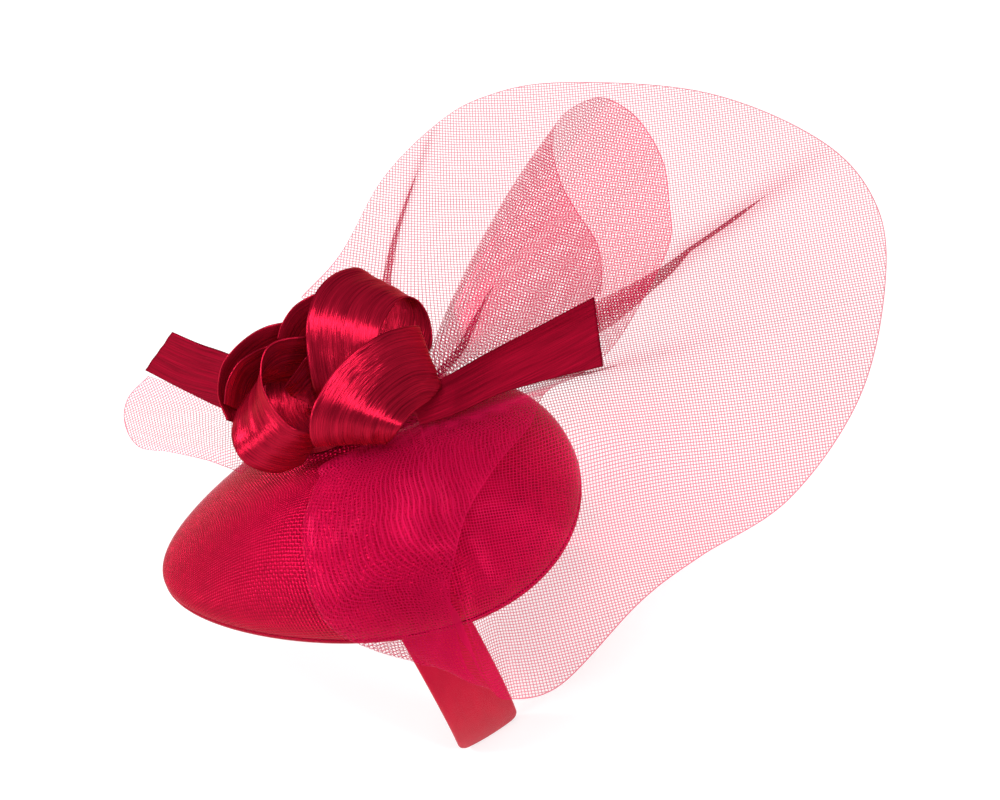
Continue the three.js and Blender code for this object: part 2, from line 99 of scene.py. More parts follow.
# Trimmings.
ABACA_THICK = 0.5
ABACA_STEPS = 16  # from one pair of edge points to the next
ABACA_ACROSS = 33
ABACA_RIPPLE = 0.35
UV_APART = 50  # so that the fibres differ from strip to strip
SQUEEZE_LIMITS = (0.35, 1.2)  # how much closer or wider the gathers draw the threads
EASE_LIMITS = (0.05, 1.3)
LEAST_STEP = 0.02
ROSE_CENTRE = np.array([-25.5, 16, 28])
CRIN_PITCH = 1.08  # from one thread to the next, across the threads
CRIN_THREAD = 0.27
CRIN_OPACITY = 0.66  # of one thread
CRIN_EDGE = 0.4  # the line of thread along the free edge

# Camera: above the wearer's left side, with the head turned in the frame.
CAMERA_TARGET = np.array([9.5, 64.7, 10.7])
CAMERA_DISTANCE = 1200
CAMERA_AZIMUTH = radians(80)
CAMERA_ELEVATION = radians(55)
CAMERA_ROLL = radians(23)
CAMERA_LENS = 119.7

FLOOR_HALF_SIDE = 4.0  # metres
LIGHT_DISTANCE = 1.1  # metres

RED_STRAW = (0.52, 0.003, 0.04)
RED_SATIN = (0.58, 0.006, 0.04)
RED_ABACA = (0.5, 0.008, 0.034)
# Painted shade: the abaca red darkened for the tails, which are seen on their shaded side.
SHADED_ABACA = (0.26, 0.002, 0.016)
RED_CRIN = (0.5, 0.004, 0.06)
GLOW_CRIN = (0.75, 0.008, 0.09)
CRIN_GLOW = 0.35  # the share of light that passes through the threads
RED_GLEAM = (1.0, 0.1, 0.2, 1)
DARK_THREAD = (0.2, 0.002, 0.01)
BUCKRAM_WHITE = (0.75, 0.7, 0.62)

# ------------------------------------------------------------------ curves and grids of points


def smooth(points, where):
    """Points of the Catmull-Rom curves through points, at positions counted in points."""
    points = np.asarray(points, float)
    last = len(points) - 1
    first = np.clip(np.floor(where).astype(int), 0, last - 1)
    share = (where - first).reshape((-1,) + (1,) * (points.ndim - 1))
    before = 2 * points[0] - points[1]
    after = 2 * points[-1] - points[-2]
    padded = np.concatenate([[before], points, [after]])
    a, b, c, d = (padded[first + k] for k in range(4))
    slope_b = (c - a) / 2
    slope_c = (d - b) / 2
    cubic = 2 * b - 2 * c + slope_b + slope_c
    square = 3 * c - 3 * b - 2 * slope_b - slope_c
    return b + share * (slope_b + share * (square + share * cubic))


def surface(rows, along, across):
    """A grid of points on the smooth surface through rows of control points."""
    rows = np.asarray(rows, float)
    columns = smooth(rows.transpose(1, 0, 2), across * (rows.shape[1] - 1))
    return smooth(columns.transpose(1, 0, 2), along)


def normals(grid):
    along = np.gradient(grid, axis=0)
    across = np.gradient(grid, axis=1)
    normal = np.cross(along, across)
    length = np.linalg.norm(normal, axis=2, keepdims=True)
    return normal / np.maximum(length, 1e-9)


def steps_between(grid, axis):
    return np.linalg.norm(np.diff(grid, axis=axis), axis=2)


def running_length(grid, axis):
    """Distances along one direction of a grid, from its start."""
    steps = steps_between(grid, axis)
    pad = [(0, 0), (0, 0)]
    pad[axis] = (1, 0)
    return np.cumsum(np.pad(steps, pad), axis=axis)


def ripples(seed, count):
    """Smoothed random heights between -1 and 1."""
    values = np.random.default_rng(seed).uniform(-1, 1, count)
    for _ in range(2):
        values = (np.roll(values, 1) + values + np.roll(values, -1)) / 3
    return values


def grid_piece(name, grid, flat, material, ring=False, values=None, creased=None):
    """A mesh from a grid of points in millimetres, with its flat coordinates as UVs in
    metres. Rows of faces that are creased are shaded flat."""
    rows, columns = grid.shape[:2]
    wrap = rows if ring else rows - 1
    i, j = np.meshgrid(np.arange(wrap), np.arange(columns - 1), indexing="ij")

    def corner(a, b):
        return ((a % rows) * columns + b).ravel()

    faces = np.stack([corner(i, j), corner(i + 1, j), corner(i + 1, j + 1), corner(i, j + 1)], 1)
    mesh = bpy.data.meshes.new(name)
    mesh.from_pydata((grid.reshape(-1, 3) * MM).tolist(), [], faces.tolist())
    layer = mesh.uv_layers.new(name="UVMap")
    loops = np.empty(len(mesh.loops), int)
    mesh.loops.foreach_get("vertex_index", loops)
    uv = flat.reshape(-1, 2)[loops] * MM
    layer.data.foreach_set("uv", uv.astype(np.float32).ravel())
    for key, value in (values or {}).items():
        attribute = mesh.attributes.new(key, "FLOAT", "POINT")
        attribute.data.foreach_set("value", value.astype(np.float32).ravel())
    rounded = np.ones(wrap, bool) if creased is None else ~creased
    mesh.polygons.foreach_set("use_smooth", np.repeat(rounded, columns - 1).tolist())
    mesh.materials.append(material)
    mesh.update()
    piece = bpy.data.objects.new(name, mesh)
    bpy.context.scene.collection.objects.link(piece)
    return piece


def show(piece, slot, *nodes):
    """The piece rides on the body and stands for its CAD nodes."""
    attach(piece, "root")
    if nodes:
        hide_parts(*nodes)
    return piece


# ------------------------------------------------------------------ materials


class Shader:
    """A material and short calls that add nodes to it."""

    def __init__(self, name, colour, roughness):
        self.material = bpy.data.materials.new(name)
        self.material.use_nodes = True
        self.tree = self.material.node_tree
        self.surface = self.tree.nodes["Principled BSDF"]
        self.set("Base Color", (*colour, 1))
        self.set("Roughness", roughness)

    def set(self, socket, value):
        self.surface.inputs[socket].default_value = value

    def link(self, source, target):
        self.tree.links.new(source, target)

    def feed(self, socket, source):
        self.link(source, self.surface.inputs[socket])

    def node(self, kind, inputs=(), **settings):
        made = self.tree.nodes.new(kind)
        for key, value in settings.items():
            setattr(made, key, value)
        for place, value in enumerate(inputs):
            if value is None:
                continue
            if isinstance(value, bpy.types.NodeSocket):
                self.link(value, made.inputs[place])
            else:
                made.inputs[place].default_value = value
        return made

    def math(self, operation, *inputs):
        return self.node("ShaderNodeMath", inputs, operation=operation).outputs[0]

    def flat_axes(self):
        """The two flat coordinates of the piece, in millimetres."""
        uv = self.node("ShaderNodeUVMap", uv_map="UVMap").outputs[0]
        split = self.node("ShaderNodeSeparateXYZ", [uv]).outputs
        return [self.math("DIVIDE", axis, MM) for axis in split[:2]]

    def vector(self, x, y, z=0.0):
        return self.node("ShaderNodeCombineXYZ", [x, y, z]).outputs[0]

    def noise(self, vector, scale, detail=3.0):
        made = self.node("ShaderNodeTexNoise", [vector])
        made.inputs["Scale"].default_value = scale
        made.inputs["Detail"].default_value = detail
        return made.outputs[0]

    def ramp(self, value, low, high, to_low, to_high):
        return self.node("ShaderNodeMapRange", [value, low, high, to_low, to_high]).outputs[0]

    def mix(self, factor, dark, light):
        made = self.node("ShaderNodeMix", data_type="RGBA")
        self.link(factor, made.inputs["Factor"])
        made.inputs[6].default_value = (*dark, 1)
        made.inputs[7].default_value = (*light, 1)
        return made.outputs[2]

    def along_fibres(self):
        """The direction of the piece's first flat axis."""
        return self.node("ShaderNodeTangent", direction_type="UV_MAP", uv_map="UVMap").outputs[0]

    def leaning_normal(self, amount):
        """The surface's normal, leaning along the fibres by an amount."""
        lean = self.node("ShaderNodeVectorMath", [self.along_fibres()], operation="SCALE")
        self.link(amount, lean.inputs["Scale"])
        normal = self.node("ShaderNodeNewGeometry").outputs["Normal"]
        both = self.node("ShaderNodeVectorMath", [normal, lean.outputs[0]], operation="ADD")
        unit = self.node("ShaderNodeVectorMath", [both.outputs[0]], operation="NORMALIZE")
        return unit.outputs[0]

    def bump(self, height, distance, normal=None):
        made = self.node("ShaderNodeBump")
        made.inputs["Distance"].default_value = distance * MM
        self.link(height, made.inputs["Height"])
        if normal:
            self.link(normal, made.inputs["Normal"])
        self.feed("Normal", made.outputs[0])


def woven_height(shader, x, y, warp, weft):
    """The height of a plain weave whose strands lie warp and weft apart."""
    u = shader.math("MULTIPLY", x, pi / warp)
    v = shader.math("MULTIPLY", y, pi / weft)
    wave_u = shader.math("SINE", u)
    wave_v = shader.math("SINE", v)
    column = shader.math("SIGN", wave_u)
    row = shader.math("SIGN", wave_v)
    strands = []
    for across, parity, rise, way in ((wave_u, column, wave_v, 1), (wave_v, row, wave_u, -1)):
        round_top = shader.math("SQRT", shader.math("ABSOLUTE", across))
        over = shader.math("MULTIPLY", shader.math("MULTIPLY", parity, rise), 0.5 * way)
        strands.append(shader.math("MULTIPLY", round_top, shader.math("ADD", over, 0.5)))
    return shader.math("MAXIMUM", *strands)


def straw_material():
    """A plain weave of flat strands that gleam where they rise."""
    shader = Shader("red_straw", RED_STRAW, 0.17)
    shader.set("Metallic", 0.55)
    shader.set("Specular IOR Level", 0.1)
    shader.set("Specular Tint", RED_GLEAM)
    x, y = shader.flat_axes()
    height = woven_height(shader, x, y, STRAW_WARP, STRAW_WEFT)
    shader.bump(height, 0.4)
    drift = shader.noise(shader.vector(x, y), 0.12)
    # Painted shade: the base colour darkens in the low parts of the weave, between the strands,
    # with a little random tone from the drift noise on top.
    weave_shade_and_tone = shader.math("ADD", height, shader.ramp(drift, 0.3, 0.7, -0.05, 0.15))
    dark = tuple(0.3 * c for c in RED_STRAW)
    shader.feed("Base Color", shader.mix(weave_shade_and_tone, dark, RED_STRAW))
    return shader.material


def satin_material(name="red_satin"):
    shader = Shader(name, RED_SATIN, 0.34)
    shader.set("Metallic", 0.35)
    shader.set("Specular IOR Level", 0.1)
    shader.set("Specular Tint", RED_GLEAM)
    x, y = shader.flat_axes()
    weave = woven_height(shader, x, y, 0.25, 0.25)
    wrinkle = shader.noise(shader.vector(shader.math("MULTIPLY", x, 0.3), y), 0.25)
    height = shader.math("ADD", shader.math("MULTIPLY", weave, 0.2), wrinkle)
    shader.bump(height, 0.25)
    # Painted shade: the colour darkens where the wrinkle noise, which is also the bump height,
    # runs low.
    dark = tuple(0.75 * c for c in RED_SATIN)
    shader.feed("Base Color", shader.mix(wrinkle, dark, RED_SATIN))
    return shader.material


def abaca_material(name, gleam, roughness, light):
    """Long straight fibres, each leaning a little its own way, so the shine is streaky."""
    shader = Shader(name, light, roughness)
    shader.set("Metallic", gleam)
    shader.set("Specular IOR Level", 0.1)
    shader.set("Specular Tint", RED_GLEAM)
    shader.set("Anisotropic", 0.5)
    shader.set("Anisotropic Rotation", 0.25)
    x, y = shader.flat_axes()
    fibres = shader.noise(shader.vector(shader.math("MULTIPLY", x, 0.012), y), 5.0, 2.0)
    bundles = shader.noise(shader.vector(shader.math("MULTIPLY", x, 0.015), y), 0.9, 2.0)
    strands = shader.noise(shader.vector(shader.math("MULTIPLY", x, 0.05), y), 3.0, 1.0)
    lean = shader.ramp(strands, 0.3, 0.7, -0.11, 0.11)
    shader.bump(fibres, 0.07, shader.leaning_normal(lean))
    dark = tuple(0.4 * c for c in light)
    shade = shader.math("ADD", fibres, shader.math("MULTIPLY", bundles, 0.6))
    strand = shader.ramp(shade, 0.6, 1.0, 0.0, 1.0)
    shader.feed("Base Color", shader.mix(strand, dark, light))
    rough = shader.ramp(bundles, 0.35, 0.65, roughness - 0.04, roughness + 0.08)
    shader.feed("Roughness", rough)
    shader.feed("Tangent", shader.along_fibres())
    return shader.material


def thread_lines(shader, across, pitch, half_width):
    """1 on threads that lie pitch apart and 0 between them."""
    place = shader.math("FRACT", shader.math("DIVIDE", across, pitch))
    middle = shader.math("ABSOLUTE", shader.math("SUBTRACT", place, 0.5))
    edge = shader.math("ADD", half_width, 0.03)
    return shader.ramp(middle, half_width, edge, 1.0, 0.0)


def crin_material():
    """An open mesh of two sets of slanting threads, closer where the strip is drawn up,
    with a straight thread along its free edge."""
    shader = Shader("pink_crinoline", RED_CRIN, 0.3)
    shader.set("Metallic", 0.15)
    shader.set("Specular IOR Level", 0.1)
    shader.set("Specular Tint", RED_GLEAM)
    x, y = shader.flat_axes()
    ease = shader.node("ShaderNodeAttribute", attribute_name="ease").outputs["Fac"]
    half = shader.math("DIVIDE", CRIN_THREAD / CRIN_PITCH / 2, ease)
    cover = None
    for way in (1, -1):
        slant = shader.math("ADD", x, shader.math("MULTIPLY", y, way))
        lines = thread_lines(shader, shader.math("MULTIPLY", slant, sqrt(0.5)), CRIN_PITCH, half)
        cover = lines if cover is None else shader.math("MAXIMUM", cover, lines)
    edge = shader.node("ShaderNodeAttribute", attribute_name="from_edge").outputs["Fac"]
    cover = shader.math("MAXIMUM", cover, shader.ramp(edge, CRIN_EDGE, CRIN_EDGE + 0.05, 1.0, 0.0))
    cover = shader.math("MULTIPLY", cover, CRIN_OPACITY)
    shader.feed("Alpha", cover)
    glow = shader.node("ShaderNodeBsdfTranslucent", [(*GLOW_CRIN, 1)])
    share = shader.math("MULTIPLY", cover, CRIN_GLOW)
    both = shader.node("ShaderNodeMixShader", [share, shader.surface.outputs[0], glow.outputs[0]])
    shader.link(both.outputs[0], shader.tree.nodes["Material Output"].inputs["Surface"])
    return shader.material


def cloth_material(name, colour, roughness, pitch):
    shader = Shader(name, colour, roughness)
    shader.set("Specular IOR Level", 0.15)
    place = shader.node("ShaderNodeTexCoord").outputs["Object"]
    x, y, _ = shader.node("ShaderNodeSeparateXYZ", [place]).outputs
    fine = [shader.math("DIVIDE", axis, MM) for axis in (x, y)]
    height = woven_height(shader, *fine, pitch, pitch)
    shader.bump(height, 0.15)
    # Painted shade: the colour darkens in the low parts of the weave, between the threads.
    dark = tuple(0.6 * c for c in colour)
    shader.feed("Base Color", shader.mix(height, dark, colour))
    return shader.material


# ------------------------------------------------------------------ base

base_long = np.array([sin(BASE_TURN), cos(BASE_TURN), 0])
base_short = np.array([cos(BASE_TURN), -sin(BASE_TURN), 0])


def dome_points(share, angle, inset):
    """Points of the dome at shares of the way out from its middle to its rim."""
    swell = 1 + BASE_EGG * np.cos(angle)
    along = (BASE_HALF_LENGTH - inset) * np.cos(angle) * share
    aside = (BASE_HALF_WIDTH * swell - inset) * np.sin(angle) * share
    bulge = np.maximum(1 - share**DOME_SPREAD, 0) ** DOME_ROUND
    nose = 1 - BASE_NOSE_DROP * np.maximum(0, -np.cos(angle)) * share**2
    height = (BASE_RISE - inset) * bulge * nose
    flat = along[..., None] * base_long + aside[..., None] * base_short
    return BASE_CENTRE + flat + height[..., None] * np.array([0, 0, 1])


def dome_piece(name, inset, material, from_share=0.0):
    share = np.sin(np.linspace(np.arcsin(from_share), pi / 2, DOME_RINGS))
    angle = np.linspace(0, 2 * pi, DOME_SECTORS, endpoint=False)
    share, angle = np.meshgrid(share, angle)
    grid = dome_points(share, angle, inset)
    reach = running_length(grid, 1) + BASE_HALF_WIDTH * from_share
    flat = np.stack([reach * np.cos(angle), reach * np.sin(angle)], -1)
    return grid_piece(name, grid, flat, material, ring=True)


def hoop_piece(name, material, centre, radius):
    """A round tube just inside the rim."""
    angle = np.linspace(0, 2 * pi, HOOP_STEPS, endpoint=False)[:, None]
    turn = np.linspace(0, 2 * pi, HOOP_SIDES + 1)[None, :]
    inward = centre[0] + radius * np.cos(turn)
    up = centre[1] + radius * np.sin(turn)
    rim = np.ones_like(angle * turn)
    grid = dome_points(rim, angle * rim, 0)
    inner = dome_points(rim, angle * rim, 1)
    grid = grid + (inner - grid) * (inward * rim)[..., None]
    grid[..., 2] = BASE_CENTRE[2] + up
    round_rim = running_length(grid, 0)
    flat = np.stack([round_rim, radius * turn * rim], -1)
    return grid_piece(name, grid, flat, material, ring=True)


# ------------------------------------------------------------------ headband


def band_points(angle, out, aside):
    normal = np.stack([BAND_DROP * np.cos(angle), BAND_HALF_WIDTH * np.sin(angle)], -1)
    normal /= np.linalg.norm(normal, axis=-1, keepdims=True)
    x = BAND_HALF_WIDTH * np.cos(angle) + out * normal[..., 0]
    z = BAND_DROP * (np.sin(angle) - 1) + out * normal[..., 1]
    return np.stack([x, BAND_MIDDLE + aside, z], -1)


def band_piece(name, section, material):
    """A closed strip along the band from the (aside, out) points of its section."""
    share = np.linspace(-1, 1, BAND_STEPS)
    reach = np.minimum(1, (1 - np.abs(share)) * BAND_STEPS / BAND_END_STEPS)
    narrow = BAND_END_NARROW + (1 - BAND_END_NARROW) * np.sqrt(1 - (1 - reach) ** 2)
    angle = (pi / 2 - share * (pi / 2 - BAND_END_ANGLE))[:, None]
    aside = section[None, :, 0] * narrow[:, None]
    out = section[None, :, 1] + 0 * aside
    grid = band_points(angle + 0 * aside, out, aside)
    flat = np.stack([running_length(grid, 0), running_length(grid, 1)], -1)
    return grid_piece(name, grid, flat, material)


def round_section(wide, low, high):
    """The outline of a flat strip with rounded edges, from edge to edge over its top."""
    straight = wide / 2 - BAND_CORNER
    middle = (low + high) / 2
    rise = (high - low) / 2
    turn = np.linspace(0, pi, BAND_ROUND_STEPS)
    sides = BAND_CORNER * np.sin(turn)
    heights = middle - rise * np.cos(turn)
    across = np.linspace(-straight, straight, BAND_ROUND_STEPS)[1:-1]
    crown = high + BAND_CROWN * (1 - (across / straight) ** 2)
    left = np.stack([-straight - sides, heights], 1)
    top = np.stack([across, crown], 1)
    right = np.stack([straight + sides, heights], 1)[::-1]
    ends = straight - BAND_TURN_IN
    return np.concatenate([[(-ends, low)], left, top, right, [(ends, low)]])


# ------------------------------------------------------------------ rose and tails

rose_up = np.array([-0.675, 0.516, 0.528])
rose_face = np.array([0.565, -0.1, 0.819])
rose_up = rose_up / np.linalg.norm(rose_up)
rose_face = rose_face / np.linalg.norm(rose_face)
rose_right = np.cross(rose_up, rose_face)
rose_right = rose_right / np.linalg.norm(rose_right)
rose_axes = np.array([rose_right, rose_up, rose_face])

# Each loop's edges as [outer edge, inner edge] from one end to the other: to the rose's
# right, up and out of its face, from its centre.
ROSE_LOOPS = {
    "loop_top": [
        [(-2, -10, -6), (18, -10, -4)],
        [(-5, -3, 6), (20, -4, 8)],
        [(-7, 10, 13), (19, 7, 15)],
        [(-7, 21, 13.5), (19, 16.5, 15)],
        [(-4, 31, 9), (22.5, 24, 11)],
        [(2.6, 38, 1), (27, 29, 5)],
        [(11, 40, -6), (32.5, 28, -1)],
        [(15, 34, -13), (36.5, 21, -5)],
        [(13, 23, -16), (37, 11.5, -6.5)],
        [(11, 12, -15), (31, 5, -9)],
    ],
    "loop_right": [
        [(27, 13, -3), (35, -2, -6)],
        [(32.5, 19, 3.5), (40.6, -2, 2.2)],
        [(20, 16, 18), (37, -7.5, 9)],
        [(6, 5.5, 25), (31, -12, 17)],
        [(-3, -8, 28), (27, -17, 21)],
        [(-5.5, -17, 24), (23.5, -21.5, 18)],
        [(-4, -24, 16), (20, -23, 13)],
        [(2, -22, 10), (15, -18, 8)],
    ],
    "loop_front": [
        [(-8, 15, 9), (-7, 1, -9)],
        [(-14, 14.5, 11), (-9.5, 0, -9)],
        [(-19.2, 12.8, 13), (-13, -1, -9)],
        [(-22.1, 9.5, 14.5), (-18, -1, -8)],
        [(-23.2, 4, 15.5), (-25, -2, -7)],
        [(-22.5, -3, 16.5), (-31.5, -8, -6)],
        [(-18.5, -10.5, 17), (-34.5, -16, -1)],
        [(-13.5, -16.5, 16), (-34, -24, 3)],
        [(-9, -18.5, 14.5), (-29, -31, 2)],
        [(-4.5, -19, 12), (-19, -34, -3)],
        [(0, -18, 8), (-10, -31, -6)],
    ],
    "loop_inner_ring": [
        [(-37.6, -9, 1), (-30.5, -12.5, -12.5)],
        [(-36.5, -1.6, 3), (-27.5, -8, -12.5)],
        [(-32.7, 5.3, 4.5), (-25, -3, -12.5)],
        [(-28, 8.8, 5.5), (-21, 0, -12.5)],
        [(-23.8, 11, 6), (-16, 3, -12.5)],
        [(-18, 13, 6), (-11, 5, -12.5)],
    ],
    "loop_outer_ring": [
        [(-36.8, -15, -4), (-30, -17.5, -15)],
        [(-40, -6, -3), (-30.5, -11, -16)],
        [(-38.8, 4, -2), (-29.5, -4, -16)],
        [(-34.8, 10, -1), (-26, 0.5, -16)],
        [(-28.5, 15.5, 0), (-21, 4, -16)],
        [(-22.2, 18.8, 0), (-15, 7, -16)],
        [(-15, 20.5, -1), (-9, 9, -16)],
    ],
    "loop_back": [
        [(-18.3, 14.5, 1), (-10, 7.5, -10)],
        [(-17, 19, 2), (-7.5, 8, -10)],
        [(-14, 24, 3), (-5, 9.5, -10)],
        [(-10.6, 27.3, 3.5), (-2, 12, -10)],
        [(-5, 30.5, 3), (1, 15, -10)],
    ],
    "loop_heart": [
        [(-15.8, -3, 2), (-14, -6, -5)],
        [(-11, 3.5, 4), (-9, -8, -4)],
        [(-7.5, 8, 4), (-5, -10, -3.5)],
        [(-3, 8, 0), (-2, -9, -9)],
    ],
    "loop_core": [
        [(-23.5, 1, -14.5), (0, 6, -14)],
        [(-23.5, -6, -15.5), (2, -3, -15)],
        [(-22, -13, -14), (2, -12, -12)],
        [(-17, -20, -9), (3, -17.5, -7)],
        [(-10, -23, -3), (4, -21, -1)],
    ],
}

# Each tail's edges as [upper, lower], from under the rose to the cut end.
TAILS = {
    "tail_right": [
        [(-10, 37, 15), (6, 35, 18)],
        [(-8, 51, 16), (9, 48, 17)],
        [(-6, 71, 18), (11, 66, 16)],
        [(-3, 91, 20), (17, 86, 15)],
        [(0, 113, 22), (22, 102, 13)],
    ],
    "tail_left": [
        [(-39, 8, 12.9), (-31.5, -2, 12.9)],
        [(-50, 2, 14), (-38, -8, 7)],
        [(-70, -9, 14), (-54, -20, 5)],
        [(-81, -16, 14), (-71, -29, 5)],
        [(-92, -22, 14), (-90, -38, 5)],
    ],
}


def ribbon_piece(name, edges, material, seed):
    """A strip of abaca between two edges, faintly rippled along its length."""
    edges = np.array(edges, float)
    rows = np.stack([edges[:, 0], edges.mean(1), edges[:, 1]], 1)
    along = np.linspace(0, len(rows) - 1, (len(rows) - 1) * ABACA_STEPS + 1)
    across = np.linspace(0, 1, ABACA_ACROSS)
    grid = surface(rows, along, across)
    ripple = ripples(seed, ABACA_ACROSS) * ABACA_RIPPLE
    grid = grid + normals(grid) * ripple[None, :, None]
    length = running_length(grid, 0).mean(1)[:, None] + 0 * grid[..., 0]
    width = running_length(grid, 1)
    piece = grid_piece(name, grid, np.stack([length + UV_APART * seed, width], -1), material)
    solid = piece.modifiers.new("thickness", "SOLIDIFY")
    solid.thickness = ABACA_THICK * MM
    solid.offset = 0
    return piece


# ------------------------------------------------------------------ crinoline


def ray(inner, outer, bow=(0, 0, 0), columns=6):
    """A row of the crinoline from its gathered edge to its free edge, bowed by a vector."""
    share = np.linspace(0, 1, columns)[:, None]
    line = np.array(inner) + share * (np.array(outer) - np.array(inner))
    return (line + 4 * share * (1 - share) * np.array(bow)).tolist()


STRIP_ROWS = [
    # trumpet, front wall
    ray([-11, 46, 14], [6, 114, 30], [2, 0, 3]),
    ray([-12, 46, 14.2], [3, 118, 36], [2, 0, 3]),
    ray([-13, 46, 14.4], [-5, 122, 42], [2, 0, 3]),
    ray([-14, 46, 14], [-17, 122, 48], [1, 0, 3]),
    ray([-15, 46, 14], [-29, 123, 52], [0, 0, 3]),
    ray([-16, 46, 14], [-43, 128, 55], [-2, 0, 4]),
    # trumpet, round the fold and down the back wall
    ray([-17, 46, 13], [-56, 138, 51], [-4, 0, 2]),
    ray([-18, 46, 12], [-62, 155, 42], [-4, 0, -2]),
    ray([-17, 46, 11], [-56, 163, 34], [-3, 0, -2]),
    ray([-16, 46, 11], [-46, 165, 28], [-2, 0, -2]),
    ray([-15, 46, 10], [-33, 163, 24], [0, 0, -2]),
    ray([-14, 46, 10], [-21, 157, 19], [0, 0, -1]),
    ray([-12, 45, 10], [-9, 149, 14]),
    ray([-10, 44, 10], [3, 130, 10]),
    ray([-8, 42, 10], [14, 110, 9]),
    ray([-7, 40, 10], [17, 95, 9]),
    # loop over the front of the base, folded at its left and lower edges
    [[-8, 38, 10], [0, 24, 10.5], [-3, 8, 14], [0, 7, 18], [11, 44, 16], [16, 80, 9]],
    [[-8, 37, 10], [3, 19, 11.5], [1, -2, 14], [4, -2, 18], [17, 36, 19], [26, 68, 11]],
    [[-8, 36, 10], [5, 14, 12.5], [7, -11, 13], [10, -9, 18], [22, 25, 21], [32, 54, 12]],
    [[-8, 35, 10], [9, 9, 14], [14, -18, 12], [17, -15, 17], [29, 17, 20], [38, 42, 12]],
    [[-8, 34, 10], [15, 5, 15], [23, -24, 6], [28, -21, 12], [36, 9, 18], [44, 31, 10]],
    [[-7.6, 33.2, 10], [21, 2, 16], [32, -28, -2], [37, -26, 3], [45, 2, 14], [52, 22, 7]],
    [[-7.2, 32.4, 10], [28, 1, 15], [41, -27, -11], [45, -25, -5], [52, -1, 7], [58, 14, 0]],
    [[-6.5, 31.8, 10], [34, 3, 12], [51, -20, -17], [55, -18, -12], [60, -2, -5], [64, 9, -10]],
    [[-5.8, 32.4, 10], [37, 9, 10], [57, -12, -23], [62, -10, -21], [67, -2, -17], [70, 6, -18]],
    [[-5.3, 33.4, 10], [37, 15, 9], [63, -3, -23], [69, -4, -28], [73, -1, -27], [77, 4, -26]],
    [[-5, 34.6, 10], [35, 21, 9], [58, 10, -10], [71, 5, -26], [79, 4, -32], [85, 7, -32]],
    # brim, from the front of the base round behind the wearer's head
    [[-4.8, 36, 10], [15, 34, 12], [37, 28, 8], [58, 22, -5], [76, 16, -23], [91, 11, -35]],
    [[-4.6, 37.6, 10], [18, 38, 11], [40, 35, 6], [61, 32, -7], [81, 30, -21], [100, 29, -30]],
    [[-4.6, 39.2, 10], [18, 45, 10], [39, 50, 4], [59, 56, -6], [76, 62, -15], [94, 68, -20]],
    [[-5, 41, 10], [14, 53, 9], [33, 64, 1], [52, 74, -7], [74, 85, -12], [94, 94, -15]],
    [[-7, 43, 9], [9, 60, 8], [25, 79, 2], [47, 97, -4], [73, 114, -8], [96, 131, -10]],
    [[-9, 44, 9], [4, 66, 8], [16, 90, 3], [37, 118, -1], [59, 146, -4], [79, 172, -5]],
    ray([-11, 44, 8], [45, 205, -5]),
    ray([-13, 44, 8], [14, 222, -2], [0, 0, -2]),
    ray([-15, 44, 8], [-22, 221, 1], [0, 0, -2]),
    ray([-17, 44, 8], [-67, 197, 5], [0, 0, -2]),
    ray([-19, 43, 8], [-100, 153, 14], [0, 0, -2]),
    ray([-21, 42, 8], [-109, 124, 19], [0, 0, -2]),
    ray([-23, 40, 8], [-106, 101, 22], [0, 0, -2]),
    ray([-25, 37, 8], [-95, 74, 24], [0, 0, -2]),
    ray([-27, 34, 8], [-76, 46, 23], [0, 0, -2]),
    ray([-28, 31, 8], [-71, 25, 19], [0, 0, -2]),
]

# The small loop of crinoline below the left tail.
LEFT_LOOP_ROWS = [
    ray([-38, -3, 1], [-91, -38, 0]),
    ray([-37, -4.5, 1.3], [-90, -49, -4]),
    ray([-36, -6, 1.6], [-82, -55, -6], [0, 0, 2]),
    ray([-34.5, -7.3, 2], [-69, -55, -6], [0, 0, 3]),
    ray([-33, -8.4, 2.6], [-57, -46, -3], [0, 0, 3]),
    ray([-31.5, -9.4, 3.2], [-44, -37, 0], [0, 0, 3]),
    ray([-30, -10.3, 3.9], [-35, -32, 2], [0, 0, 2]),
    ray([-28, -11, 4.6], [-26, -28, 5]),
]

# Pleats folded into the strip: the row that each follows at shares of the way out, as
# (share, row, half width in millimetres, how much closer the threads lie beside it).
PLEATS = [
    [
        (0, 0.5, 2, 0.4),
        (0.15, 1.6, 2.2, 0.5),
        (0.3, 2.8, 1.4, 0.5),
        (0.44, 3.4, 0.5, 0.4),
        (0.5, 3.5, 0, 0.2),
        (0.6, 3.7, 0, 0),
        (1, 3.9, 0, 0),
    ],
    [
        (0, 32.0, 1.5, 0.4),
        (0.27, 32.4, 2.2, 0.4),
        (0.4, 32.4, 1.2, 0.4),
        (0.46, 32.6, 0, 0.3),
        (0.6, 32.8, 0, 0.1),
        (0.75, 32.9, 0, 0),
        (1, 33.0, 0, 0),
    ],
    [
        (0, 34.0, 2, 0.5),
        (0.3, 34.0, 6, 0.5),
        (0.41, 34.2, 6.3, 0.5),
        (0.5, 34.4, 3.6, 0.5),
        (0.56, 34.5, 2.3, 0.5),
        (0.62, 34.65, 0.8, 0.55),
        (0.75, 34.75, 0.8, 0.55),
        (0.82, 34.8, 0, 0.45),
        (0.92, 34.85, 0, 0.25),
        (1, 34.9, 0, 0.1),
    ],
    [
        (0, 40.1, 3.5, 0.5),
        (0.5, 40.1, 3.5, 0.5),
        (0.66, 39.75, 2.4, 0.5),
        (0.81, 39.35, 1, 0.5),
        (0.87, 39.2, 0, 0.45),
        (0.96, 39.0, 0, 0.35),
        (1, 38.9, 0, 0.1),
    ],
]
LIFT_WAY = np.array([0.3, 0, 0.95])
PLEAT_LIFT = 0.7  # between the outer layers of a pleat
